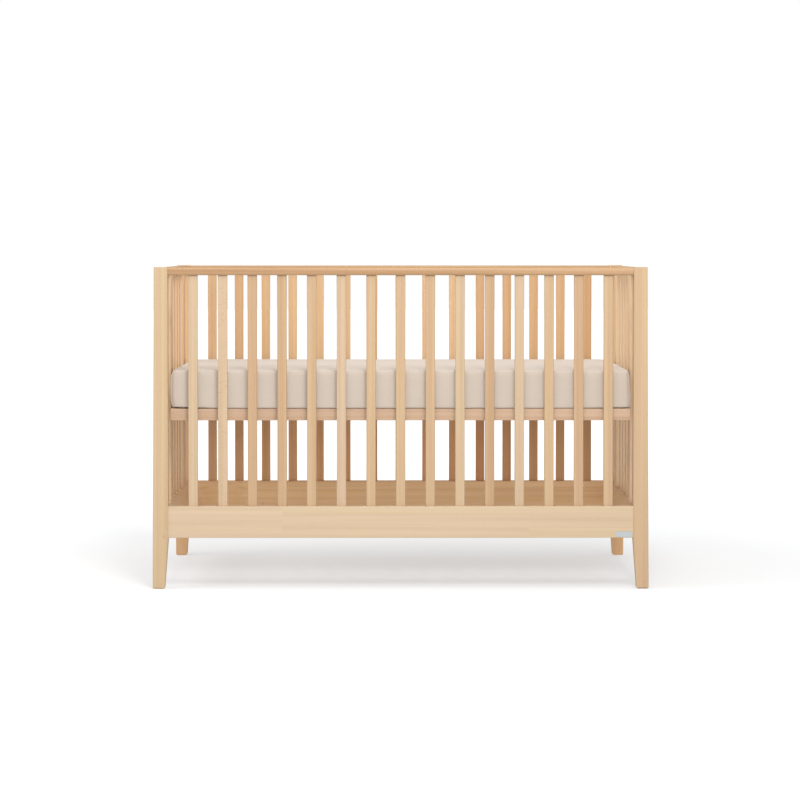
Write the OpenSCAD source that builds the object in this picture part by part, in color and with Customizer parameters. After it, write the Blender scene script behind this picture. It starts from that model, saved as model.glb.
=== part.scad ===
// Baby crib with slatted sides and ends, a slatted mattress support that bolts on at
// three heights, and a mattress in a fitted sheet. Millimetres; X runs along the length,
// the front faces -Y and +Z is up. The origin is on the floor under the crib's centre.

/* [Overall] */
// Height over the legs
height = 920; // [880:1:960]
// Clear length between the legs
inner_len = 1330; // [1314:1:1346]
// Depth over the legs
depth = 770; // [754:1:786]

/* [Legs] */
// Width of a leg at its top, seen from the front
leg_w = 39; // [37:0.5:44]
// Depth of a leg
leg_d = 38; // [36:0.5:42]
// How far the outer side leans out from top to floor
leg_flare = 5.4; // [0:0.2:8]
// How far the inner sides are cut back at the floor
leg_taper = 10; // [6:0.5:14]
// Rounding of the upright edges
leg_r = 3; // [2:0.5:5]
// Bevel round the underside of a foot
foot_bevel = 4; // [1:0.5:6]

/* [Rails] */
// Thickness of every rail
rail_t = 28; // [26:0.5:30]
// Height of a top rail
top_rail_h = 22; // [20:0.5:26]
// How far a top rail sits below the leg tops
top_rail_drop = 1; // [0.5:0.5:4]
// Rounding of a top rail's edges
top_rail_r = 6; // [3:0.5:8]
// Height of a bottom rail
low_rail_h = 90; // [80:0.5:100]
// Height of the bottom rails above the floor
low_rail_z = 146; // [120:1:160]
// Rounding of a bottom rail's edges
low_rail_r = 2; // [1:0.5:4]
// How far the rails sit behind the leg faces
rail_set = 3; // [3:0.5:4]

/* [Slats] */
// Slats in the front and in the back
slat_count = 15; // [14:1:16]
// Width of a slat
slat_w = 27; // [24:0.5:32]
// Thickness of a slat
slat_t = 14; // [12:0.5:16]
// Rounding of a slat's edges
slat_r = 2.5; // [1:0.5:4]
// Depth of the mortise that holds a slat's end
mortise = 10; // [6:1:12]
// Spacing of the uprights in an end
end_pitch = 84; // [82:0.5:86]
// Width of the end stile that carries the support
stile_w = 60; // [50:1:64]
// Thickness of the end stile
stile_t = 22; // [20:0.5:24]

/* [Mattress support] */
// Underside of the support at its top height
support_z = 479.5; // [470:0.5:490]
// Height of the support's frame
support_h = 34; // [30:1:36]
// Thickness of the support's frame
support_t = 20; // [18:1:24]
// Length of the support
support_len = 1320; // [1300:1:1322]
// Depth of the support
support_d = 686; // [670:1:688]
// Slats in the support
deck_count = 13; // [10:1:14]
// Width of a support slat
deck_w = 70; // [50:1:75]
// Thickness of a support slat
deck_t = 12; // [10:0.5:14]
// Drop from one height of the support to the next
step_down = 160; // [150:1:165]

/* [Hardware] */
// Radius of the connecting bolts
bolt_r = 3; // [2.5:0.5:3.5]
// Radius of a barrel nut
nut_r = 5; // [4.5:0.5:6]
// Radius of the dowels in the bottom rails
dowel_r = 4; // [3:0.5:5]
// Thickness of the steel of a bracket
steel_t = 2.5; // [2:0.1:3]
// Width of a bracket
bracket_w = 40; // [34:1:46]
// Distance between the two bolts of a bracket
bolt_pitch = 32; // [30:1:34]

/* [Mattress] */
// Length of the made-up mattress
mattress_len = 1316; // [1300:1:1318]
// Width of the made-up mattress
mattress_w = 690; // [680:1:692]
// Thickness of the made-up mattress
mattress_h = 110; // [100:1:150]
// Rounding of the mattress corners
mattress_r = 12; // [8:1:60]
// Thickness of the sheet
sheet_t = 1.5; // [1:0.1:2]
// Width of sheet tucked under the mattress
sheet_tuck = 70; // [40:1:120]

/* [Hidden] */
$fn = 48;
SIDES = ["front", "back"];
ENDS = ["left", "right"];
LEGS = [for (side = SIDES, end = ENDS) str(side, "_", end, "_leg")];
RAILS = [for (level = ["top", "bottom"], where = concat(SIDES, ENDS)) str(where, "_", level, "_rail")];
SLATS = [for (side = SIDES, i = [1:slat_count]) slat_name(side, i)];
END_PARTS = [for (end = ENDS, kind = ["slats", "stiles"]) str(end, "_end_", kind)];
SUPPORT = ["support_side_rails", "support_end_rails", "support_centre_rail", "support_slats",
           "support_brackets", "support_bolts", "support_screws"];
HARDWARE = ["threaded_inserts", "frame_bolts", "barrel_nuts", "dowels", "label_plate"];
BEDDING = ["mattress", "fitted_sheet"];

// Colours
beech = [0.89, 0.78, 0.64];
beech_warm = [0.82, 0.65, 0.47];
beech_pink = [0.80, 0.65, 0.53];
steel = [0.62, 0.62, 0.62];
zinc = [0.78, 0.78, 0.76];
white = [0.90, 0.92, 0.93];
linen = [0.86, 0.78, 0.70];

// Places that the driving sizes give
in_x = inner_len / 2;
in_y = depth / 2 - leg_d;
side_y = depth / 2 - rail_set - rail_t / 2;
end_x = in_x + rail_set + rail_t / 2;
end_face_x = in_x + rail_set;
top_rail_z = height - top_rail_drop - top_rail_h;
low_rail_top = low_rail_z + low_rail_h;
slat_gap = (inner_len - slat_count * slat_w) / (slat_count + 1);
slat_z = low_rail_top - mortise;
slat_h = top_rail_z + mortise - slat_z;
stile_y = 2.5 * end_pitch;
stile_x = end_face_x + stile_t / 2;
stile_tenon_t = 12;
stile_tenon_w = stile_w - 16;
fit = 0.1;

// Frame bolts: the head sits in a pocket in the leg's outer side
bolt_seat_x = in_x + leg_w - 6;
bolt_head_r = 6.5;
bolt_head_h = 4;
bolt_end_x = in_x - 44;
nut_x = in_x - 33;
nut_len = 14;
low_mid_z = low_rail_z + low_rail_h / 2;
side_dowel_dz = 26;
end_dowel_dz = 31;
top_mid_z = top_rail_z + top_rail_h / 2;
top_bolt_y = side_y - 5;
top_dowel_y = side_y + 6.5;
top_dowel_r = 3;
dowel_half = 15;
end_dowel_half = 10;

// Support: brackets stand clear of the end stiles by a hair so that they slide
support_top = support_z + support_h;
slide_gap = 0.3;
plate_x = end_face_x - slide_gap - steel_t;
lip_len = 45;
bracket_top = support_z + 80;
bracket_bolt_z = [support_top - 2.5, support_top - 2.5 + bolt_pitch];
insert_r = 4.5;
insert_len = 13;
button_r = 5.25;
button_h = 3.3;
socket_r = 2;
deck_pitch = (support_len - 2 * support_t) / deck_count;
deck_housing = 10;
screw_r = 2;
screw_head_r = 4;
screw_head_h = 2.5;
screw_len = 26;
recess_w = 4.4;
recess_t = 1.1;
recess_d = 1.6;
centre_rail_w = 40;

// Bedding rests on the support
sheet_bottom = support_top + 0.2;
label_w = 46;
label_h = 15.5;
label_t = 0.8;

function slat_name(side, i) = str(side, "_slat_", i < 10 ? "0" : "", i);
function slat_x(i) = -in_x + i * (slat_gap + slat_w) - slat_w / 2;
function sign_of(where) = where == "front" || where == "left" ? -1 : 1;
function outer_x(z) = in_x + leg_w + leg_flare * (height - z) / height;

// ---- Shapes that repeat ----

// A rectangle with round corners, centred
module rounded_rect(w, h, r) {
    square([w - 2 * r, h], center = true);
    square([w, h - 2 * r], center = true);
    for (x = [-1, 1], y = [-1, 1])
        translate([x * (w / 2 - r), y * (h / 2 - r)]) circle(r);
}

// Bars with round long edges, along X, Y and Z
module bar_x(length, d, h, r) {
    rotate([90, 0, 90]) linear_extrude(length, center = true) rounded_rect(d, h, r);
}

module bar_y(length, w, h, r) {
    rotate([90, 0, 0]) linear_extrude(length, center = true) rounded_rect(w, h, r);
}

module bar_z(length, w, d, r) {
    linear_extrude(length) rounded_rect(w, d, r);
}

// A round bar or hole along X, centred on x
module rod_x(x, y, z, r, length) {
    translate([x, y, z]) rotate([0, 90, 0]) cylinder(r = r, h = length, center = true);
}

module rod_y(x, y, z, r, length) {
    translate([x, y, z]) rotate([90, 0, 0]) cylinder(r = r, h = length, center = true);
}

// Puts what is drawn in the +X +Y quarter into the quarter of the signs sx and sy
module quarter(sx, sy) {
    mirror([sx < 0 ? 1 : 0, 0, 0]) mirror([0, sy < 0 ? 1 : 0, 0]) children();
}

module all_quarters() {
    for (sx = [-1, 1], sy = [-1, 1]) quarter(sx, sy) children();
}

// ---- Fasteners, drawn in the +X +Y quarter ----

module frame_bolt_places() {
    for (level = ["top", "bottom"])
        translate([0, level == "top" ? top_bolt_y : side_y, level == "top" ? top_mid_z : low_mid_z]) children();
}

// Bolt and its hole, along X from the leg into the rail
module frame_bolt() {
    shank = bolt_seat_x - bolt_end_x;
    difference() {
        union() {
            rod_x(bolt_seat_x - shank / 2, 0, 0, bolt_r, shank);
            rod_x(bolt_seat_x + bolt_head_h / 2, 0, 0, bolt_head_r, bolt_head_h);
        }
        translate([bolt_seat_x + bolt_head_h - 2.5, 0, 0]) rotate([0, 90, 0])
            cylinder(r = 2.3, h = 3, $fn = 6);
    }
}

module frame_bolt_hole() {
    length = bolt_seat_x - bolt_end_x + 4;
    rod_x(bolt_seat_x - length / 2, 0, 0, bolt_r + 0.25, length);
    rod_x(bolt_seat_x + 10, 0, 0, bolt_head_r + 0.6, 20);
}

// The nuts go up into the rails from below, where they are out of sight
module barrel_nut() {
    difference() {
        cylinder(r = nut_r, h = nut_len, center = true);
        rod_x(0, 0, 0, bolt_r + 0.05, 3 * nut_r);
    }
}

module nut_hole() {
    translate([0, 0, -low_rail_h]) cylinder(r = nut_r + fit, h = low_rail_h + nut_len / 2);
}

// Dowels into the front or back rail, and into the end rail, with room all round for the holes
module side_dowels(room = 0) {
    rod_x(in_x, top_dowel_y, top_mid_z, top_dowel_r + room, 2 * (dowel_half + room));
    for (z = [-side_dowel_dz, side_dowel_dz])
        rod_x(in_x, side_y, low_mid_z + z, dowel_r + room, 2 * (dowel_half + room));
}

module end_dowels(room = 0) {
    for (x = [-7, 7])
        rod_y(end_x + x, in_y, top_mid_z, top_dowel_r + room, 2 * (end_dowel_half + room));
    for (z = [-end_dowel_dz, end_dowel_dz])
        rod_y(end_x, in_y, low_mid_z + z, dowel_r + room, 2 * (end_dowel_half + room));
}

// ---- Legs ----

// Slope of the inner sides below the rails, and the tilt of a bar that has it on both sides
leg_slope = leg_taper / low_rail_z;
leg_tilt = atan(leg_slope * sqrt(2));
big = 2 * leg_w;

// An upright bar gives the inner corners, one leaning with the outer side gives the outer
// corners, and one tilted inwards cuts the two inner sides back below the rails
module leg_blank() {
    intersection() {
        translate([in_x + big / 2, depth / 2 - leg_d / 2, 0]) bar_z(height, big, leg_d, leg_r);
        translate([outer_x(0), depth / 2 - leg_d / 2, 0]) rotate([0, -atan(leg_flare / height), 0])
            translate([-big / 2, 0, -big]) bar_z(height + 2 * big, big, leg_d, leg_r);
        translate([in_x + leg_taper, in_y + leg_taper, 0]) rotate(a = leg_tilt, v = [1, -1, 0])
            translate([big, big, -big]) bar_z(2 * height, 2 * big, 2 * big, leg_r);
    }
}

// Cuts a bevel along each edge of the underside of a foot
module foot_bevels() {
    edge = foot_bevel * sqrt(2);
    for (x = [in_x + leg_taper, outer_x(0)])
        translate([x, in_y, 0]) rotate([0, 45, 0]) cube([edge, 4 * leg_d, edge], center = true);
    for (y = [in_y + leg_taper, depth / 2])
        translate([in_x, y, 0]) rotate([45, 0, 0]) cube([4 * leg_w, edge, edge], center = true);
}

module leg(side, end) {
    color(beech) quarter(sign_of(end), sign_of(side))
        difference() {
            leg_blank();
            foot_bevels();
            frame_bolt_places() frame_bolt_hole();
            side_dowels(fit);
            end_dowels(fit);
        }
}

// ---- Rails ----

module side_slat_mortises(z) {
    for (i = [1:slat_count])
        translate([slat_x(i), 0, z]) cube([slat_w + fit, slat_t + fit, 2 * mortise], center = true);
}

module side_rail(side, level) {
    top = level == "top";
    h = top ? top_rail_h : low_rail_h;
    z = top ? top_rail_z : low_rail_z;
    difference() {
        translate([0, sign_of(side) * side_y, z + h / 2])
            bar_x(inner_len, rail_t, h, top ? top_rail_r : low_rail_r);
        translate([0, sign_of(side) * side_y, 0]) side_slat_mortises(top ? z : z + h);
        for (sx = [-1, 1]) quarter(sx, sign_of(side)) {
            frame_bolt_places() frame_bolt_hole();
            side_dowels(fit);
            frame_bolt_places() translate([nut_x, 0, 0]) nut_hole();
        }
    }
}

// Places of the narrow slats and of the two stiles across an end
end_slat_y = [for (k = [-3.5, -1.5, -0.5, 0.5, 1.5, 3.5]) k * end_pitch];

module stile_tenons(room = 0) {
    for (sy = [-1, 1], z = [slat_z, slat_z + slat_h - mortise])
        translate([stile_x, sy * stile_y, z + mortise / 2])
            cube([stile_tenon_t + room, stile_tenon_w + room, mortise + room], center = true);
}

module end_rail(end, level) {
    top = level == "top";
    h = top ? top_rail_h : low_rail_h;
    z = top ? top_rail_z : low_rail_z;
    quarter(sign_of(end), 1) difference() {
        translate([end_x, 0, z + h / 2]) bar_y(2 * in_y, rail_t, h, top ? top_rail_r : low_rail_r);
        for (y = end_slat_y)
            translate([end_x, y, top ? z : z + h]) cube([slat_t + fit, slat_w + fit, 2 * mortise], center = true);
        stile_tenons(fit);
        for (sy = [-1, 1]) quarter(1, sy) end_dowels(fit);
        if (!top) insert_places([2]) insert_hole();
    }
}

// ---- Slats ----

module side_slat(side, i) {
    color(beech) translate([slat_x(i), sign_of(side) * side_y, slat_z]) bar_z(slat_h, slat_w, slat_t, slat_r);
}

module end_slats(end) {
    color(beech) quarter(sign_of(end), 1)
        for (y = end_slat_y)
            translate([end_x, y, slat_z]) bar_z(slat_h, slat_t, slat_w, slat_r);
}

module end_stiles(end) {
    color(beech) quarter(sign_of(end), 1) difference() {
        union() {
            for (sy = [-1, 1])
                translate([stile_x, sy * stile_y, low_rail_top])
                    bar_z(top_rail_z - low_rail_top, stile_t, stile_w, slat_r);
            stile_tenons();
        }
        insert_places([0, 1, 2]) insert_hole();
    }
}

// ---- Inserts for the support's bolts, three pairs on each stile ----

module insert_places(steps) {
    for (step = steps, sy = [-1, 1], z = bracket_bolt_z)
        translate([end_face_x, sy * stile_y, z - step * step_down]) rotate([0, 90, 0]) children();
}

module insert_hole() {
    translate([0, 0, -1]) cylinder(r = insert_r + 0.05, h = insert_len + 2);
}

module threaded_insert() {
    difference() {
        translate([0, 0, 0.2]) cylinder(r = insert_r, h = insert_len - 0.2);
        translate([0, 0, -1]) cylinder(r = bolt_r, h = insert_len + 2);
    }
}

module threaded_inserts() {
    color(zinc) for (end = ENDS) quarter(sign_of(end), 1) insert_places([0, 1, 2]) threaded_insert();
}

module frame_bolts() {
    color(zinc) all_quarters() frame_bolt_places() frame_bolt();
}

module barrel_nuts() {
    color(zinc) all_quarters() frame_bolt_places() translate([nut_x, 0, 0]) barrel_nut();
}

module dowels() {
    color(beech) all_quarters() {
        side_dowels();
        end_dowels();
    }
}

// A plain plate at the right end of the front bottom rail
module label_plate() {
    color(white)
        translate([in_x - 3 - label_w / 2, -side_y - rail_t / 2, low_rail_z + low_rail_r + 0.5 + label_h / 2])
            rotate([90, 0, 0]) linear_extrude(label_t) rounded_rect(label_w, label_h, 1.5);
}

// ---- Mattress support, drawn at its top height ----

function deck_x(i) = -support_len / 2 + support_t + (i - 0.5) * deck_pitch;

// A wood screw pointing down from z = 0; the holes are drawn with one that has no cross recess
module screw(crossed) {
    difference() {
        union() {
            translate([0, 0, -screw_len]) cylinder(r = screw_r, h = screw_len);
            translate([0, 0, -screw_head_h]) cylinder(r1 = screw_r, r2 = screw_head_r, h = screw_head_h);
        }
        if (crossed)
            for (turn = [0, 90])
                rotate(turn) cube([recess_w, recess_t, 2 * recess_d], center = true);
    }
}

module deck_screws(crossed = false) {
    for (i = [1:deck_count], sy = [-1, 1])
        translate([deck_x(i), sy * (support_d / 2 - support_t + deck_housing / 2), support_top]) screw(crossed);
}

// Two screws go up through each bracket's lip into the end rail
module lip_screws(crossed = false) {
    all_quarters() for (dy = [-1, 1])
        translate([support_len / 2 - support_t / 2, stile_y + dy * bracket_w / 4, support_z - steel_t])
            mirror([0, 0, 1]) screw(crossed);
}

module support_side_rails() {
    color(beech_pink) difference() {
        for (sy = [-1, 1])
            translate([0, sy * (support_d - support_t) / 2, support_z + support_h / 2])
                bar_x(support_len, support_t, support_h, 1.5);
        for (i = [1:deck_count])
            translate([deck_x(i) - deck_w / 2, -support_d / 2 + support_t - deck_housing, support_top - deck_t])
                cube([deck_w, support_d - 2 * support_t + 2 * deck_housing, deck_t + 1]);
        deck_screws();
    }
}

module support_end_rails() {
    color(beech_pink) difference() {
        for (sx = [-1, 1])
            translate([sx * (support_len - support_t) / 2, 0, support_z + support_h / 2])
                bar_y(support_d - 2 * support_t, support_t, support_h, 1.5);
        lip_screws();
    }
}

module support_centre_rail() {
    color(beech_pink) translate([0, 0, support_z + (support_h - deck_t) / 2])
        bar_x(support_len - 2 * support_t, centre_rail_w, support_h - deck_t, 1.5);
}

module support_slats() {
    color(beech_pink) difference() {
        for (i = [1:deck_count])
            translate([deck_x(i), 0, support_top - deck_t / 2])
                bar_y(support_d - 2 * support_t + 2 * deck_housing, deck_w, deck_t, 1);
        deck_screws();
    }
}

// An angle bracket: a plate bolted to the end stile and a lip under the support
module support_bracket() {
    difference() {
        union() {
            translate([plate_x, stile_y - bracket_w / 2, support_z - steel_t])
                cube([steel_t, bracket_w, bracket_top - support_z + steel_t]);
            translate([plate_x - lip_len + steel_t, stile_y - bracket_w / 2, support_z - steel_t])
                cube([lip_len, bracket_w, steel_t]);
        }
        for (z = bracket_bolt_z) rod_x(plate_x, stile_y, z, bolt_r + 0.3, 4 * steel_t);
    }
}

module support_brackets() {
    color(steel) difference() {
        all_quarters() support_bracket();
        lip_screws();
    }
}

// Button-head bolts; the thread past the bracket is left off
module support_bolt() {
    difference() {
        union() {
            translate([-button_h, 0, 0]) rotate([0, 90, 0]) cylinder(r1 = button_r - 1.4, r2 = button_r, h = 1.4);
            rod_x(-(button_h - 1.4) / 2, 0, 0, button_r, button_h - 1.4);
            rod_x(steel_t / 2, 0, 0, bolt_r, steel_t);
        }
        translate([-button_h - 1, 0, 0]) rotate([0, 90, 0]) cylinder(r = socket_r, h = 3, $fn = 6);
    }
}

module support_bolts() {
    color(zinc) all_quarters() for (z = bracket_bolt_z) translate([plate_x, stile_y, z]) support_bolt();
}

module support_screws() {
    color(zinc) {
        deck_screws(crossed = true);
        lip_screws(crossed = true);
    }
}

// ---- Bedding ----

module mattress() {
    color(white) translate([0, 0, sheet_bottom + sheet_t])
        bar_z(mattress_h - 2 * sheet_t, mattress_len - 2 * sheet_t, mattress_w - 2 * sheet_t, mattress_r);
}

module fitted_sheet() {
    color(linen) translate([0, 0, sheet_bottom]) difference() {
        bar_z(mattress_h, mattress_len, mattress_w, mattress_r + sheet_t);
        translate([0, 0, sheet_t])
            bar_z(mattress_h - 2 * sheet_t, mattress_len - 2 * sheet_t, mattress_w - 2 * sheet_t, mattress_r);
        translate([0, 0, -1])
            bar_z(sheet_t + 2, mattress_len - 2 * sheet_tuck, mattress_w - 2 * sheet_tuck, mattress_r);
    }
}

// ---- What is drawn ----

for (side = SIDES, end = ENDS)
    leg(side, end);
for (side = SIDES, level = ["top", "bottom"])
    color(level == "top" ? beech_warm : beech) side_rail(side, level);
for (end = ENDS, level = ["top", "bottom"])
    color(level == "top" ? beech_warm : beech) end_rail(end, level);
for (side = SIDES, i = [1:slat_count])
    side_slat(side, i);
for (end = ENDS) {
    end_slats(end);
    end_stiles(end);
}
support_side_rails();
support_end_rails();
support_centre_rail();
support_slats();
support_brackets();
support_bolts();
support_screws();
threaded_inserts();
frame_bolts();
barrel_nuts();
dowels();
label_plate();
mattress();
fitted_sheet();
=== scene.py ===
import math

import bpy
import numpy as np
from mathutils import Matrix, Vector
from mathutils.bvhtree import BVHTree


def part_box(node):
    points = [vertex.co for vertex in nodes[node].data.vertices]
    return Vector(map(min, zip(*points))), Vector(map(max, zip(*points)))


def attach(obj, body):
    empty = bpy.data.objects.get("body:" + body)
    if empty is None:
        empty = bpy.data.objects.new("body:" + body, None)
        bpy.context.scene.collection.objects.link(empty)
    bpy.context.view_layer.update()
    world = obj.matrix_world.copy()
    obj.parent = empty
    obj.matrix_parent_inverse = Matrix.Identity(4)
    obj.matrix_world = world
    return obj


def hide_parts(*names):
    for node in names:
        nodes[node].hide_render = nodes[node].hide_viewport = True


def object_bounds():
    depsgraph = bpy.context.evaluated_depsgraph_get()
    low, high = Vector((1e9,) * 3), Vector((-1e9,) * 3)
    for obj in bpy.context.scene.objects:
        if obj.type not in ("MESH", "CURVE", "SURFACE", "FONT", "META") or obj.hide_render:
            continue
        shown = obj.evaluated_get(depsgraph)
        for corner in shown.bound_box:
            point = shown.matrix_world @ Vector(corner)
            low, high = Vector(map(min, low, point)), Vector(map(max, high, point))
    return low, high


# Baby crib: beech frame with slatted sides and ends, a slatted mattress support, and a
# mattress in a fitted sheet. Metres; X runs along the length and the front faces -Y.
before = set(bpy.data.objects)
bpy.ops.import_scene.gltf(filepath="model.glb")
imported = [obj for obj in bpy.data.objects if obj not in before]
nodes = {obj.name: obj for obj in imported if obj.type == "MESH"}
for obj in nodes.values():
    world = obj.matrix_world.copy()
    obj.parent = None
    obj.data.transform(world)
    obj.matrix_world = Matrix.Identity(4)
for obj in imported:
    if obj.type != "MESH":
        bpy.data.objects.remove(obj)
cad_low, cad_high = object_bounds()
MM = 0.001


# ---- Camera and light ----

# The distance is from the crib's front. The tilt is down and the turn to the right, in degrees.
CAMERA_X = -0.028
CAMERA_DISTANCE = 6.745
CAMERA_HEIGHT = 0.978
CAMERA_TILT = 1.5
CAMERA_TURN = 0.22
CAMERA_LENS = 106.5
CAMERA_SHIFT = -0.114


def add_object(name, data, location=(0, 0, 0)):
    obj = bpy.data.objects.new(name, data)
    obj.location = location
    bpy.context.scene.collection.objects.link(obj)
    return obj


def make_camera():
    data = bpy.data.cameras.new("camera")
    data.sensor_width = 36
    data.lens = CAMERA_LENS
    data.shift_y = CAMERA_SHIFT
    camera = add_object("camera", data, (CAMERA_X, cad_low.y - CAMERA_DISTANCE, CAMERA_HEIGHT))
    camera.rotation_euler = (math.radians(90 - CAMERA_TILT), 0, -math.radians(CAMERA_TURN))
    bpy.context.scene.camera = camera


def area_light(name, azimuth, height, distance, size, watts):
    """A soft box aimed at the crib from that far, with its size as (width, height) in metres.

    Azimuth 0 is the front and 90 the right; azimuth and height are in degrees.
    """
    data = bpy.data.lights.new(name, "AREA")
    data.shape = "RECTANGLE"
    data.size, data.size_y = size
    data.energy = watts
    middle = (cad_low + cad_high) / 2
    a, h = math.radians(azimuth), math.radians(height)
    away = Vector((math.sin(a) * math.cos(h), -math.cos(a) * math.cos(h), math.sin(h)))
    light = add_object(name, data, middle + distance * away)
    light.rotation_euler = away.to_track_quat("Z", "Y").to_euler()


def make_world(seen, cast):
    """A white studio whose walls look that bright and cast that much light."""
    world = bpy.data.worlds.new("studio")
    world.use_nodes = True
    tree = world.node_tree
    walls = tree.nodes["Background"]
    walls.inputs["Color"].default_value = (1, 1, 1, 1)
    path = tree.nodes.new("ShaderNodeLightPath")
    strength = tree.nodes.new("ShaderNodeMapRange")
    strength.inputs["To Min"].default_value = cast
    strength.inputs["To Max"].default_value = seen
    tree.links.new(path.outputs["Is Camera Ray"], strength.inputs["Value"])
    tree.links.new(strength.outputs["Result"], walls.inputs["Strength"])
    bpy.context.scene.world = world


def make_lights():
    make_world(seen=1.0, cast=0.8)
    area_light("key", 9, 48, 5, (1.0, 1.0), 115)
    area_light("low_fill", 0, 6, 5, (2.5, 1.0), 60)
    area_light("left_fill", -75, 40, 5, (2.5, 2.5), 75)
    area_light("top_light", 0, 75, 5, (3.0, 3.0), 90)
    bpy.context.scene.view_settings.view_transform = "Standard"


# ---- Materials ----

class Surface:
    """A material's nodes, with one short call for each kind of node that is used."""

    def __init__(self, name):
        self.material = bpy.data.materials.new(name)
        self.material.use_nodes = True
        self.tree = self.material.node_tree
        self.shader = self.tree.nodes["Principled BSDF"]

    def put(self, value, socket):
        if isinstance(value, bpy.types.NodeSocket):
            self.tree.links.new(value, socket)
        else:
            socket.default_value = value

    def node(self, kind, inputs, **settings):
        made = self.tree.nodes.new("ShaderNode" + kind)
        for key, value in settings.items():
            setattr(made, key, value)
        for key, value in inputs.items():
            self.put(value, made.inputs[key])
        return made

    def math(self, operation, a, b=0.0, clamp=False):
        return self.node("Math", {0: a, 1: b}, operation=operation, use_clamp=clamp).outputs[0]

    def add(self, *values):
        total = values[0]
        for value in values[1:]:
            total = self.math("ADD", total, value)
        return total

    def times(self, a, b):
        return self.math("MULTIPLY", a, b)

    def remap(self, value, low, high, to_low=0.0, to_high=1.0):
        """Low to high becomes to_low to to_high, and is held there beyond them."""
        return self.node("MapRange", {0: value, 1: low, 2: high, 3: to_low, 4: to_high}).outputs[0]

    def place(self):
        """The point's place in the crib's frame at rest, as X, Y and Z."""
        coordinates = self.node("TexCoord", {}).outputs["Object"]
        return self.node("SeparateXYZ", {0: coordinates}).outputs

    def vector(self, x, y, z):
        return self.node("CombineXYZ", {0: x, 1: y, 2: z}).outputs[0]

    def noise(self, vector, detail=2.0, roughness=0.5):
        inputs = {"Vector": vector, "Scale": 1.0, "Detail": detail, "Roughness": roughness}
        return self.node("TexNoise", inputs).outputs[0]

    def cells(self, vector):
        return self.node("TexVoronoi", {"Vector": vector, "Scale": 1.0}).outputs

    def mix(self, share, a, b, blend="MIX"):
        made = self.tree.nodes.new("ShaderNodeMix")
        made.data_type = "RGBA"
        made.blend_type = blend
        self.put(share, made.inputs[0])
        self.put(a, made.inputs[6])
        self.put(b, made.inputs[7])
        return made.outputs[2]

    def finish(self, colour, roughness, height, depth, **constants):
        """Colour, roughness and a bump of that depth in metres, with the shader's constants."""
        self.put(colour, self.shader.inputs["Base Color"])
        self.put(roughness, self.shader.inputs["Roughness"])
        bump = self.node("Bump", {"Height": height, "Distance": depth, "Strength": 1.0})
        self.put(bump.outputs[0], self.shader.inputs["Normal"])
        for name, value in constants.items():
            self.shader.inputs[name.replace("_", " ")].default_value = value
        return self.material


def rgba(colour, scale=1.0):
    return (*(c * scale for c in colour), 1.0)


# For each direction of the grain: the axes across, through and along it
GRAIN_AXES = {"X": (1, 2, 0), "Y": (2, 0, 1), "Z": (0, 1, 2)}
# The width of a year's ring, and how far away the pith is across the grain and through it
RING = 3.1 * MM
PITH = (0.085, 0.14)
# The length of a finger joint's fingers, how far the next board's grain is shifted, and
# how much darker the boards after the first joint and after the second are
FINGER = 8 * MM
BOARD_SHIFT = 0.19
BOARD_TONES = (0.06, -0.10)
# Half the length of a cathedral arch, and its rise
ARCH_HALF = 110 * MM
ARCH_RISE = 26 * MM
# The tints of the slightly yellower and the slightly redder bands
HUES = ((1.0, 1.01, 0.965, 1), (1.0, 0.988, 1.025, 1))
KNOT_HEART = (0.20, 0.09, 0.035)
KNOT_STRETCH = 2.2
# Painted shade: the redder, darker tint put on the wood's inner faces below the mattress, the
# heights between which it fades out, and how far from the crib's middle it begins to weaken and is
# at its weakest
PAINTED_SHADE_TINT = (1.0, 0.80, 0.68, 1)
PAINTED_SHADE_HEIGHTS = (0.38, 0.50)
PAINTED_SHADE_REACH = (0.25, 0.60)
# The colour of the painted shadow line under the top rail, partly a dark joint
JOINT_SHADOW_COLOUR = (0.20, 0.10, 0.045)


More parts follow.
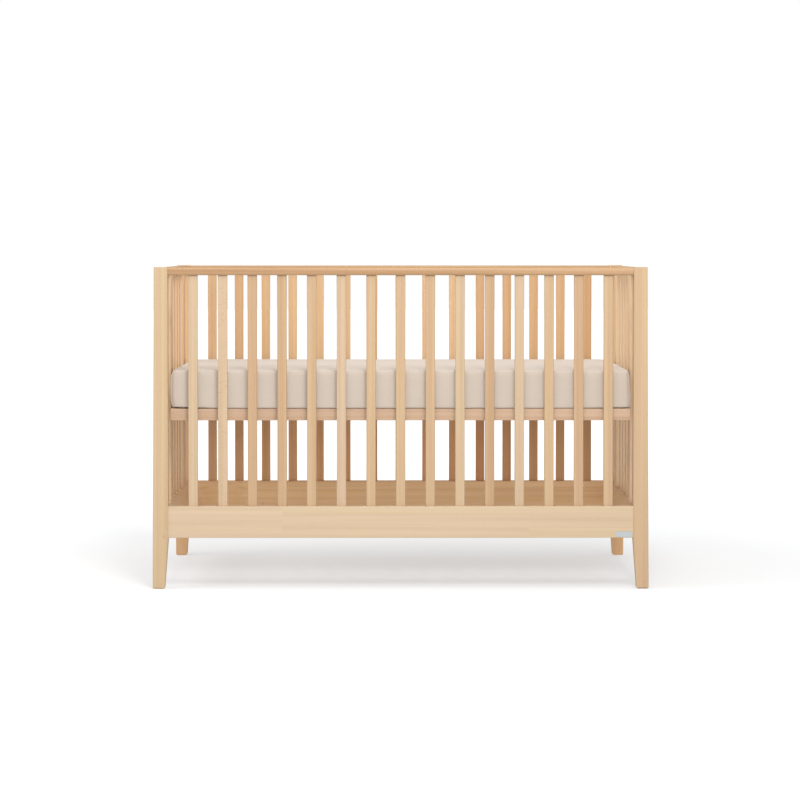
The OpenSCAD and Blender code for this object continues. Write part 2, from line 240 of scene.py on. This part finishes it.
def wood(name, grain, colour, figure=1.0, seed=0.0, sway=1.0, flame=0.0, boards=(), knots=(),
         arch=None, painted_shade_front=None, joint_shadow_height=None):
    """Lacquered beech with its grain along one axis, in a (pale, deep) pair of colours.

    Rings round a pith outside the piece give the lines, and noise drawn out along the grain
    gives bands, fibres and pores. figure is how strong they are, and seed picks the board.
    sway: how much the lines wander.
    flame: how strong the cross dashes are.
    boards: the places along the grain of finger joints.
    knots: (place, radius) pairs.
    arch: where along the grain the lines curve over a cathedral.
    painted_shade_front: the Y in front of which the wood below the mattress gets a painted shade,
    redder and darker.
    joint_shadow_height: the height at which the piece enters a rail; just below it a dark line is
    painted round the piece, a painted shadow of the rail above it and partly a dark joint.
    """
    s = Surface(name)
    place = s.place()
    across, through, along = (place[k] for k in GRAIN_AXES[grain])
    across = s.add(across, seed * 0.37)
    through = s.add(through, seed * 0.23)

    if arch is not None:
        beside = s.remap(along, arch - ARCH_HALF, arch + ARCH_HALF, -1.0, 1.0)
        across = s.add(across, s.times(s.times(beside, beside), ARCH_RISE))

    tone = 0.0
    for i, joint in enumerate(boards):
        fingers = s.times(s.math("PINGPONG", place[2], FINGER / 2), 2.0)
        beyond = s.math("GREATER_THAN", s.add(along, fingers), joint)
        across = s.add(across, s.times(beyond, BOARD_SHIFT))
        tone = s.add(tone, s.times(beyond, BOARD_TONES[i % 2]))

    def drawn(cross, length, detail=2.0, roughness=0.5):
        """Noise with that many features a metre across the grain and along it."""
        v = s.vector(s.times(across, cross), s.times(through, cross), s.times(along, length))
        return s.noise(v, detail, roughness)

    drift = drawn(4, 0.7 * sway, 1.0)
    band = drawn(85, 0.8, 3.0, 0.6)
    hue = drawn(60, 0.6, 2.0)
    fibre = drawn(650, 9, 3.0, 0.6)
    pores = drawn(1500, 70, 0.0)

    dx = s.add(across, PITH[0])
    dy = s.add(through, PITH[1])
    squared = s.add(s.times(dx, dx), s.times(dy, dy))
    radius = s.add(s.math("SQRT", squared), s.times(drift, 0.012 * sway), s.times(band, 0.0012))
    turn = s.math("FRACT", s.times(radius, 1 / RING))
    # Each ring darkens slowly outwards and ends sharply, and some years are fainter than others
    line = s.times(s.remap(turn, 0.30, 0.90), s.remap(turn, 0.92, 1.0, 1.0, 0.0))
    year = s.noise(s.vector(s.times(radius, 0.55 / RING), s.times(along, 0.4), 0.0), 1.0)
    line = s.times(line, s.remap(year, 0.3, 0.7, 0.2, 1.0))

    spots = s.cells(s.vector(s.times(across, 480), s.times(through, 480), s.times(along, 120)))
    fleck = s.remap(spots["Distance"], 0.10, 0.30, 1.0, 0.0)

    dark = s.add(
        tone,
        0.5,
        s.times(s.add(band, -0.5), 1.9 * figure),
        s.times(s.add(drift, -0.5), 0.6),
        s.times(s.add(fibre, -0.5), 0.4 * figure),
        s.times(s.add(line, -0.3), 0.42 * figure),
        s.times(s.remap(pores, 0.62, 0.74), 0.2),
        s.times(fleck, 0.16),
    )
    if flame:
        dashes = drawn(60, 240, 0.0)
        patches = drawn(9, 11, 1.0)
        shown = s.times(s.remap(dashes, 0.58, 0.72), s.remap(patches, 0.42, 0.60))
        dark = s.add(dark, s.times(shown, flame))
    pale, deep = colour
    base = s.mix(s.math("ADD", dark, 0.0, clamp=True), rgba(pale), rgba(deep))
    tint = s.mix(s.remap(hue, 0.35, 0.65), *HUES)
    base = s.mix(1.0, base, tint, "MULTIPLY")
    for centre, size in knots:
        offsets = [s.add(place[k], -c) for k, c in enumerate(centre)]
        stretch = [1.0 if k == GRAIN_AXES[grain][2] else KNOT_STRETCH for k in range(3)]
        parts = [s.times(s.math("ABSOLUTE", o), f) for o, f in zip(offsets, stretch)]
        away = s.math("SQRT", s.add(*(s.math("POWER", part, 2.0) for part in parts)))
        heart = s.remap(away, 0.6 * size, 1.2 * size, 1.0, 0.0)
        halo = s.remap(away, size, 6 * size, 0.45, 0.0)
        base = s.mix(halo, base, rgba(deep, 0.82))
        base = s.mix(heart, base, rgba(KNOT_HEART))
    # Painted shade: the inner faces below the mattress are tinted redder and darker, where the
    # support's shade falls
    if painted_shade_front is not None:
        low_down = s.remap(place[2], *PAINTED_SHADE_HEIGHTS, 1.0, 0.0)
        in_front = s.remap(place[1], painted_shade_front, painted_shade_front + 4 * MM, 1.0, 0.0)
        central = s.remap(s.math("ABSOLUTE", place[0]), *PAINTED_SHADE_REACH, 1.0, 0.3)
        share = s.times(s.times(low_down, in_front), central)
        base = s.mix(share, base, s.mix(1.0, base, PAINTED_SHADE_TINT, "MULTIPLY"))
    # Painted shadow: a dark line just under the rail's underside, where the rail shades the slat,
    # partly a dark joint
    if joint_shadow_height is not None:
        rail_shadow_share = s.remap(place[2], joint_shadow_height - 2.6 * MM, joint_shadow_height - 1.8 * MM, 0.0, 0.75)
        base = s.mix(rail_shadow_share, base, rgba(JOINT_SHADOW_COLOUR))
    shine = s.add(0.50, s.times(fibre, 0.16), s.times(fleck, 0.05))
    raised = s.add(s.times(fibre, 0.5), s.times(line, 0.25))
    height = s.add(raised, s.times(fleck, -0.5), s.times(pores, -0.3))
    return s.finish(base, shine, height, 0.12 * MM, Specular_IOR_Level=0.28)


def metal(name, colour, shine, metallic=1.0):
    """Bare or plated metal with fine rolling marks, small pits and a little tarnish."""
    s = Surface(name)
    x, y, z = s.place()
    marks = s.noise(s.vector(s.times(x, 2400), s.times(y, 160), s.times(z, 2400)), 2.0)
    cloud = s.noise(s.vector(s.times(x, 90), s.times(y, 90), s.times(z, 90)), 3.0)
    cells = s.cells(s.vector(s.times(x, 900), s.times(y, 900), s.times(z, 900)))
    pits = s.remap(cells["Distance"], 0.05, 0.2, 1.0, 0.0)
    base = s.mix(s.times(cloud, 0.5), rgba(colour), rgba(colour, 0.72))
    rough = s.add(shine, s.times(cloud, 0.18), s.times(marks, 0.06))
    height = s.add(s.times(marks, 0.5), s.times(pits, -0.4))
    return s.finish(base, rough, height, 0.04 * MM, Metallic=metallic)


def cloth(name, colour, thread=0.3 * MM, contrast=0.07, sheen=0.3):
    """Plain-woven cloth: threads along and across, uneven in thickness and shade."""
    s = Surface(name)
    place = s.place()
    fine = 1 / thread / 2
    normal = s.node("SeparateXYZ", {0: s.node("NewGeometry", {}).outputs["Normal"]}).outputs
    end_face = s.math("POWER", s.math("ABSOLUTE", normal[0]), 2.0)

    def threads(*scales):
        """Noise with that many features a metre along X, Y and Z."""
        return s.noise(s.vector(*(s.times(place[k], scale) for k, scale in enumerate(scales))), 1.0)

    warp = threads(fine / 14, fine, fine)
    weft = threads(fine, fine / 14, fine / 14)
    end_weft = threads(fine, fine, fine / 14)
    weft = s.add(s.times(weft, s.math("SUBTRACT", 1.0, end_face)), s.times(end_weft, end_face))
    weave = s.add(s.times(warp, 0.5), s.times(weft, 0.5))
    slub = threads(8, 160, 160)
    cloud = threads(5, 5, 5)
    dark = s.add(
        0.5,
        s.times(s.add(weave, -0.5), 1.6),
        s.times(s.add(slub, -0.5), 0.3),
        s.times(s.add(cloud, -0.5), 0.5),
    )
    share = s.math("ADD", dark, 0.0, clamp=True)
    base = s.mix(share, rgba(colour, 1 + contrast), rgba(colour, 1 - contrast))
    rough = s.add(0.80, s.times(weave, 0.12))
    height = s.add(weave, s.times(slub, 0.5))
    constants = {"Specular_IOR_Level": 0.25, "Sheen_Weight": sheen, "Sheen_Roughness": 0.45}
    return s.finish(base, rough, height, 0.12 * MM, **constants)


def enamel(name, colour):
    """A smooth sprayed finish with faint orange peel."""
    s = Surface(name)
    x, y, z = s.place()
    peel = s.noise(s.vector(s.times(x, 1100), s.times(y, 1100), s.times(z, 1100)), 2.0)
    cloud = s.noise(s.vector(s.times(x, 60), s.times(y, 60), s.times(z, 60)), 2.0)
    base = s.mix(cloud, rgba(colour), rgba(colour, 0.93))
    rough = s.add(0.28, s.times(peel, 0.12))
    return s.finish(base, rough, peel, 0.03 * MM, Specular_IOR_Level=0.5)


# Pale and deep shades of each tone of beech. The back, warm, sandy, hind, end and far end tones are
# lighter or more orange than the front's: painted light for the parts at the back and inside that
# get less light, and far end, for the right end, is lighter than end for the same reason.
TONES = {
    "pale": ((0.488, 0.362, 0.238), (0.396, 0.280, 0.173)),
    "honey": ((0.464, 0.326, 0.200), (0.372, 0.242, 0.136)),
    "amber": ((0.444, 0.300, 0.180), (0.350, 0.216, 0.120)),
    "cream": ((0.510, 0.385, 0.262), (0.424, 0.313, 0.202)),
    "oat": ((0.485, 0.355, 0.215), (0.392, 0.272, 0.152)),
    "back": ((0.740, 0.490, 0.275), (0.620, 0.380, 0.185)),
    "warm": ((0.550, 0.350, 0.190), (0.448, 0.255, 0.122)),
    "sandy": ((0.600, 0.405, 0.230), (0.490, 0.300, 0.150)),
    "end": ((0.632, 0.446, 0.279), (0.547, 0.345, 0.191)),
    "far end": ((0.692, 0.510, 0.331), (0.600, 0.398, 0.233)),
    "hind": ((0.690, 0.438, 0.238), (0.575, 0.335, 0.160)),
    "rail": ((0.430, 0.275, 0.152), (0.302, 0.170, 0.078)),
    "pink": ((0.520, 0.370, 0.250), (0.420, 0.272, 0.176)),
}
# The tones of the slats from left to right; the first one on the front has a speck as well
FRONT_TONES = (
    "pale flame amber amber honey pale honey honey honey pale amber pale honey amber honey"
).split()
BACK_TONES = (
    "sandy warm sandy sandy sandy sandy warm warm sandy sandy warm warm warm warm warm"
).split()


def dress(material, *names):
    for name in names:
        for slot in nodes[name].material_slots:
            slot.material = material


def paint_legs():
    leg_low, leg_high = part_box("front_left_leg")
    knot = ((leg_high.x - 12 * MM, leg_low.y, 150 * MM), 1.4 * MM)
    dress(wood("beech_leg_left", "Z", TONES["oat"], 0.8, 1.0, knots=[knot]), "front_left_leg")
    dress(wood("beech_leg_right", "Z", TONES["honey"], 0.8, 2.3), "front_right_leg")
    # The back legs' hind tone is lighter than the front legs': painted light
    back = wood("beech_legs_back", "Z", TONES["hind"], 0.8, 2.9)
    dress(back, "back_left_leg", "back_right_leg")


def paint_rails():
    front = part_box("front_left_leg")[0].y
    curl = ((-0.540, front, 0.226), 1.2 * MM)
    front_rail = wood("beech_rail_lengthwise", "X", TONES["cream"], 0.75, 0.4,
                      boards=(-0.334, 0.371), knots=[curl])
    dress(front_rail, "front_bottom_rail")
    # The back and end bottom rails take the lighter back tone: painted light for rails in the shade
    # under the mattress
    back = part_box("back_bottom_rail")[0].y
    pin_knot = ((-0.434, back, 0.166), 1.3 * MM)
    back_rail = wood("beech_rail_back", "X", TONES["back"], 1.3, 4.6, sway=2.2,
                     knots=[pin_knot], arch=-0.56)
    dress(back_rail, "back_bottom_rail")
    end_rail = wood("beech_rail_crosswise", "Y", TONES["back"], 0.8, 1.9)
    dress(end_rail, "left_bottom_rail", "right_bottom_rail")
    lengthwise = wood("beech_top_lengthwise", "X", TONES["rail"], 1.3, 3.1)
    dress(lengthwise, "front_top_rail", "back_top_rail")
    crosswise = wood("beech_top_crosswise", "Y", TONES["rail"], 1.3, 2.7)
    dress(crosswise, "left_top_rail", "right_top_rail")


def paint_slats():
    under_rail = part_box("front_top_rail")[0].z
    inner_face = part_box("back_slat_01")[0].y
    slat = {}
    # The front slats get the painted shadow line under the top rail
    for tone in ("pale", "honey", "amber"):
        slat[tone] = wood(f"beech_slat_{tone}", "Z", TONES[tone], 1.0, 5.0, joint_shadow_height=under_rail)
    # The back slats get painted shade, redder and darker, on their inner faces below the mattress
    for tone in ("warm", "sandy"):
        slat[tone] = wood(f"beech_slat_{tone}", "Z", TONES[tone], 1.0, 5.0,
                          painted_shade_front=inner_face + 3 * MM)
    slat["flame"] = wood("beech_slat_flame", "Z", TONES["pale"], 1.0, 6.0, flame=0.5,
                         joint_shadow_height=under_rail)
    # The back slats take the lighter, more orange back tones: painted light
    for side, tones in (("front", FRONT_TONES), ("back", BACK_TONES)):
        for i, tone in enumerate(tones, start=1):
            dress(slat[tone], f"{side}_slat_{i:02d}")

    low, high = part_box("front_slat_01")
    speck = (((low.x + high.x) / 2 - 3 * MM, low.y, 0.383), 0.9 * MM)
    first = wood("beech_slat_speck", "Z", TONES["pale"], 1.0, 5.0, knots=[speck],
                 joint_shadow_height=under_rail)
    dress(first, "front_slat_01")
    # The ends take lighter tones than the front, and the right end's far end tone is lighter still:
    # painted light for their shaded inner faces
    for side, tone in (("left", "end"), ("right", "far end")):
        end_slat = wood(f"beech_{side}_end_slat", "Z", TONES[tone], 0.3, 5.5, sway=0.2)
        dress(end_slat, f"{side}_end_slats", f"{side}_end_stiles")


def paint_support():
    lengthwise = wood("beech_support_lengthwise", "X", TONES["pink"], 1.0, 7.2)
    dress(lengthwise, "support_side_rails", "support_centre_rail")
    crosswise = wood("beech_support_crosswise", "Y", TONES["pink"], 1.0, 8.1)
    dress(crosswise, "support_end_rails", "support_slats")


def paint_hardware():
    dress(metal("steel_bracket", (0.45, 0.45, 0.46), 0.34), "support_brackets")
    zinc = metal("zinc_plate", (0.60, 0.61, 0.60), 0.24)
    dress(zinc, "support_bolts", "support_screws", "frame_bolts", "barrel_nuts")
    dress(metal("steel_insert", (0.50, 0.58, 0.66), 0.32, 0.4), "threaded_inserts")
    dress(wood("beech_dowel", "X", TONES["honey"], 1.0, 9.0), "dowels")
    dress(enamel("label_enamel", (0.35, 0.38, 0.39)), "label_plate")


# ---- Soft goods ----

# How far inside its box the mattress starts, and how far inside it always stays
MATTRESS_INSET = 2.5 * MM
MATTRESS_LIMIT = 0.6 * MM
MATTRESS_RADIUS = 15 * MM
MATTRESS_STEPS = (13 * MM, 13 * MM, 10 * MM)
SHEET_RADIUS = 17 * MM
SHEET_STEPS = (16 * MM, 16 * MM, 10 * MM)
SHEET_THICKNESS = 0.9 * MM
SHEET_TUCK = 70 * MM
# The rows of points along the edges of the sheet's top that the solver leaves where they are
SHEET_RIM = 4
# The places of the lines across a rounding, as shares of its radius
ROUNDING = np.array([0.27, 0.52, 0.76, 1.0])
# 0 rounds an edge fully and 1 makes it square
TOP_TIGHTNESS = 0.60
LOW_TIGHTNESS = 0.80
# The left end's bulge, the right end's spread, and how far the underside lifts at each end
BELLY = 5.0 * MM
FLARE = 5.5 * MM
LEFT_LIFT = 3.5 * MM
RIGHT_LIFT = 2.0 * MM
CORNER_DROP = 4 * MM
SEAM_DEPTH = 2.5 * MM
# The depth of the sheet's folds, and the distances between folds: beside the corners, along
# the sides (where they are uneven, and the unevenness repeats further on) and in the hem
FOLD = 1.7 * MM
CORNER_WAVE = 52 * MM
SIDE_WAVE = 131 * MM
UNEVEN_WAVE = 370 * MM
HEM_WAVE = 64 * MM
# How quickly the folds on the top follow each other round a corner, in radians for each radian
FAN_WAVES = 16


def stations(half, radius, step):
    """Places along one side of a rounded box: close together in the rounding, and step apart
    between."""
    count = max(2, round(2 * (half - radius) / step))
    flat = np.linspace(radius - half, half - radius, count + 1)
    bend = half - radius * (1 - ROUNDING)
    return np.concatenate([-bend[::-1], flat, bend])


def rounded_box(name, low, high, radius, steps, hole=None):
    """A box with rounded edges as a closed quad mesh, or with a hole in its underside that far in.

    The edges of the underside are tighter than those of the top. Returns the object and the
    whole-number lattice place of each vertex.
    """
    centre, half = np.array(low + high) / 2, np.array(high - low) / 2
    lines = [stations(half[k], radius, steps[k]) for k in range(3)]
    last = [len(line) - 1 for line in lines]
    index, places, faces = {}, [], []

    def corner(at):
        if at not in index:
            index[at] = len(places)
            places.append(at)
        return index[at]

    for axis in range(3):
        a, b = (axis + 1) % 3, (axis + 2) % 3
        for end in (0, last[axis]):
            for i in range(last[a]):
                for j in range(last[b]):
                    square = []
                    for di, dj in ((0, 0), (1, 0), (1, 1), (0, 1)):
                        at = [0, 0, 0]
                        at[axis], at[a], at[b] = end, i + di, j + dj
                        square.append(tuple(at))
                    if hole and axis == 2 and end == 0:
                        x, y = (np.mean([lines[k][p[k]] for p in square]) for k in (0, 1))
                        if abs(x) < half[0] - hole and abs(y) < half[1] - hole:
                            continue
                    ids = [corner(at) for at in square]
                    faces.append(ids if end else ids[::-1])
    at = np.array(places)
    points = np.stack([lines[k][at[:, k]] for k in range(3)], axis=1)
    inner = np.clip(points, radius - half, half - radius)
    out = points - inner
    out /= np.maximum(np.linalg.norm(out, axis=1, keepdims=True), 1e-9)
    tightness = np.where(out[:, 2] < 0, LOW_TIGHTNESS, TOP_TIGHTNESS)
    larger = np.maximum(np.hypot(out[:, 0], out[:, 1]), np.abs(out[:, 2]))
    out *= (np.maximum(larger, 0.5) ** -tightness)[:, None]
    points = inner + out * radius + centre
    mesh = bpy.data.meshes.new(name)
    mesh.from_pydata(points.tolist(), [], faces)
    mesh.polygons.foreach_set("use_smooth", [True] * len(mesh.polygons))
    return add_object(name, mesh), at


def get_points(mesh):
    points = np.zeros(len(mesh.vertices) * 3)
    mesh.vertices.foreach_get("co", points)
    return points.reshape(-1, 3)


def set_points(mesh, points):
    mesh.vertices.foreach_set("co", points.ravel())
    mesh.update()


def smoothstep(value, low, high):
    """0 up to low and 1 from high on, with a smooth rise between them."""
    t = np.clip((value - low) / (high - low), 0, 1)
    return t * t * (3 - 2 * t)


def relax(obj, frames, cap, gravity, pinned=None, **settings):
    """Runs the cloth solver on obj, and keeps the result with no point moved further than cap.

    pinned says which points stay where they are.
    """
    start = get_points(obj.data)
    modifier = obj.modifiers.new("cloth", "CLOTH")
    for key, value in settings.items():
        setattr(modifier.settings, key, value)
    modifier.settings.effector_weights.gravity = gravity
    modifier.collision_settings.distance_min = 1.2 * MM
    modifier.point_cache.frame_end = frames
    if pinned is not None:
        group = obj.vertex_groups.new(name="held")
        group.add([int(i) for i in np.nonzero(pinned)[0]], 1.0, "REPLACE")
        modifier.settings.vertex_group_mass = "held"
    for number in range(1, frames + 1):
        bpy.context.scene.frame_set(number)
    moved = obj.evaluated_get(bpy.context.evaluated_depsgraph_get()).to_mesh()
    shift = get_points(moved) - start
    obj.modifiers.remove(modifier)
    bpy.context.scene.frame_set(1)
    length = np.maximum(np.linalg.norm(shift, axis=1, keepdims=True), 1e-9)
    set_points(obj.data, start + shift * np.minimum(1, cap / length))


def settle(points, low, high):
    """The left end bulges at its corners and the right end spreads at its foot.

    The upper corners drop a little, and the underside lifts towards the ends. x and y run from
    -1 to 1 across the box from low to high, and z from 0 to 1.
    """
    middle = (low + high) / 2
    span = (high - low) / 2
    x = (points[:, 0] - middle.x) / span.x
    y = (points[:, 1] - middle.y) / span.y
    z = (points[:, 2] - low.z) / (high.z - low.z)
    result = points.copy()

    near_end = smoothstep(np.abs(x), 0.8, 1.0)
    near_side = smoothstep(np.abs(y), 0.72, 0.95)
    bulge = BELLY * 4 * z * (1 - z)
    spread = FLARE * (1 - z) * smoothstep(z, -0.3, 0.25)
    result[:, 0] += np.where(x < 0, -bulge, spread) * near_end * near_side

    lift = np.where(x < 0, LEFT_LIFT, RIGHT_LIFT) * smoothstep(np.abs(x), 0.75, 1.0)
    result[:, 2] += lift * near_side * (1 - smoothstep(z, 0.0, 0.6))

    near_corner = smoothstep(np.abs(x), 0.965, 1.0) * smoothstep(np.abs(y), 0.80, 0.97)
    result[:, 2] -= CORNER_DROP * near_corner * smoothstep(z, 0.6, 1.0)
    return result


def wave(along, length, phase=0.0):
    """A sine of that wavelength."""
    return np.sin(2 * math.pi * along / length + phase)


def pull(points, low, high):
    """Faint folds where the sheet is drawn tight.

    They fan out from each corner over the top and stand upright on the sides, closer together
    near the corners, and the hem underneath is gathered.
    """
    middle, half = np.array(low + high) / 2, np.array(high - low) / 2
    offset = points - middle
    from_end = half[0] - np.abs(offset[:, 0])
    from_side = half[1] - np.abs(offset[:, 1])
    height = (points[:, 2] - low.z) / (high.z - low.z)
    # A different phase at each corner
    phase = 1.7 * np.sign(offset[:, 0]) + 0.9 * np.sign(offset[:, 1])
    result = points.copy()

    reach = np.hypot(from_end, from_side)
    fan = np.sin(FAN_WAVES * np.arctan2(from_side, from_end + 1e-6) + phase)
    fan *= smoothstep(reach, 20 * MM, 90 * MM) * (1 - smoothstep(reach, 120 * MM, 340 * MM))
    inside = smoothstep(np.minimum(from_end, from_side), 6 * MM, 25 * MM)
    result[:, 2] += FOLD * fan * smoothstep(height, 0.97, 0.99) * inside

    low_down = smoothstep(height, 0.02, 0.15) * (1 - smoothstep(height, 0.35, 0.8))
    upright = smoothstep(height, 0.02, 0.2) * (1 - smoothstep(height, 0.7, 0.95))
    for axis, along, inward in ((1, from_end, from_side), (0, from_side, from_end)):
        near_corner = 1 - smoothstep(along, 60 * MM, 170 * MM)
        close = wave(along, CORNER_WAVE, phase) * near_corner * low_down
        wide = wave(along, SIDE_WAVE, 2 * wave(along, UNEVEN_WAVE)) * upright
        on_face = 1 - smoothstep(inward, 1 * MM, 4 * MM)
        past_seam = smoothstep(along, 15 * MM, 40 * MM)
        fold = FOLD * (0.65 * close + 0.35 * wide) * on_face * past_seam
        result[:, axis] += np.sign(offset[:, axis]) * fold

    under = height < 0.01
    for axis, along, inward in ((1, 0, from_side), (0, 1, from_end)):
        near_hem = smoothstep(inward, 0.4 * SHEET_TUCK, SHEET_TUCK)
        near_hem *= 1 - smoothstep(inward, SHEET_TUCK, 1.4 * SHEET_TUCK)
        scallop = 2 * FOLD * wave(points[:, along], HEM_WAVE) * near_hem
        result[under, axis] += scallop[under]
    return result


def make_mattress():
    low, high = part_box("mattress")
    inset = Vector((MATTRESS_INSET,) * 3)
    low_in, high_in = low + inset, high - inset
    body, _ = rounded_box("crib_mattress", low_in, high_in, MATTRESS_RADIUS, MATTRESS_STEPS)
    relax(body, frames=16, cap=4 * MM, gravity=0.0, use_pressure=True,
          uniform_pressure_force=4.0, tension_stiffness=30, compression_stiffness=30,
          bending_stiffness=2, quality=5)
    points = settle(get_points(body.data), low, high)
    points = np.clip(points, np.array(low) + MATTRESS_LIMIT, np.array(high) - MATTRESS_LIMIT)
    set_points(body.data, points)
    ticking = (0.74, 0.74, 0.72)
    material = cloth("mattress_ticking", ticking, thread=0.7 * MM, contrast=0.06, sheen=0.2)
    body.data.materials.append(material)
    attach(body, "bedding")
    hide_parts("mattress")
    return body


def keep_outside(cover, core, gap):
    """Moves each point of cover that is inside core or nearer than gap to it, out along core's
    surface normal."""
    tree = BVHTree.FromObject(core, bpy.context.evaluated_depsgraph_get())
    points = get_points(cover.data)
    for i, p in enumerate(points):
        nearest, normal, _, _ = tree.find_nearest(Vector(p))
        height = (Vector(p) - nearest).dot(normal)
        if height < gap:
            points[i] += np.array(normal) * (gap - height)
    set_points(cover.data, points)


def make_sheet(mattress):
    """The sheet starts as a rounded box, open underneath, and is laid over the mattress."""
    low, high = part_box("fitted_sheet")
    sheet, at = rounded_box("stretched_sheet", low, high, SHEET_RADIUS, SHEET_STEPS, SHEET_TUCK)
    set_points(sheet.data, settle(get_points(sheet.data), low, high))
    last = at.max(axis=0)
    rim = (at[:, :2] <= SHEET_RIM) | (at[:, :2] >= last[:2] - SHEET_RIM)
    held = (at[:, 2] == 0) | ((at[:, 2] >= last[2] - SHEET_RIM) & rim.any(axis=1))
    mattress.modifiers.new("collision", "COLLISION")
    mattress.collision.thickness_outer = 0.8 * MM
    relax(sheet, frames=24, cap=3 * MM, gravity=1.0, pinned=held, quality=5, mass=0.15,
          tension_stiffness=15, compression_stiffness=5, shear_stiffness=5,
          bending_stiffness=0.15)
    mattress.modifiers.clear()
    keep_outside(sheet, mattress, SHEET_THICKNESS + 0.4 * MM)

    points = get_points(sheet.data)
    seam = np.isin(at[:, 0], (0, last[0])) & np.isin(at[:, 1], (0, last[1]))
    points[seam, :2] -= np.sign(points[seam, :2]) * SEAM_DEPTH
    points = pull(points, low, high)
    points[:, 2] = np.maximum(points[:, 2], low.z)
    set_points(sheet.data, points)

    smooth = sheet.modifiers.new("smooth", "SUBSURF")
    smooth.levels = 1
    smooth.render_levels = 1
    solid = sheet.modifiers.new("thickness", "SOLIDIFY")
    solid.thickness = SHEET_THICKNESS
    solid.offset = -1
    sheet.data.materials.append(cloth("sheet_percale", (0.470, 0.402, 0.340)))
    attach(sheet, "bedding")
    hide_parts("fitted_sheet")


# ---- Stage ----

FLOOR_RADIUS = 30
# The floor's glow: how far from the middle it begins to rise and has risen, and from what to what
GLOW_REACH = (1.2, 4.0)
GLOW = (0.48, 0.85)


def make_floor():
    """A pale paper floor that glows a little more further out, to meet the white walls."""
    bpy.ops.mesh.primitive_circle_add(vertices=96, radius=FLOOR_RADIUS, fill_type="NGON",
                                      location=(0, 0, cad_low.z))
    floor = bpy.context.object
    floor.name = "floor"
    s = Surface("floor_paper")
    x, y, _ = s.place()
    grain = s.noise(s.vector(s.times(x, 40), s.times(y, 40), 0.0), 3.0)
    base = s.mix(grain, (0.37, 0.375, 0.38, 1), (0.35, 0.355, 0.36, 1))
    away = s.math("SQRT", s.add(s.times(x, x), s.times(y, y)))
    s.put(s.remap(away, *GLOW_REACH, *GLOW), s.shader.inputs["Emission Strength"])
    s.shader.inputs["Emission Color"].default_value = (1, 1, 1, 1)
    floor.data.materials.append(s.finish(base, 0.9, grain, 0.1 * MM, Specular_IOR_Level=0.1))


make_camera()
make_lights()
make_floor()
paint_legs()
paint_rails()
paint_slats()
paint_support()
paint_hardware()
make_sheet(make_mattress())
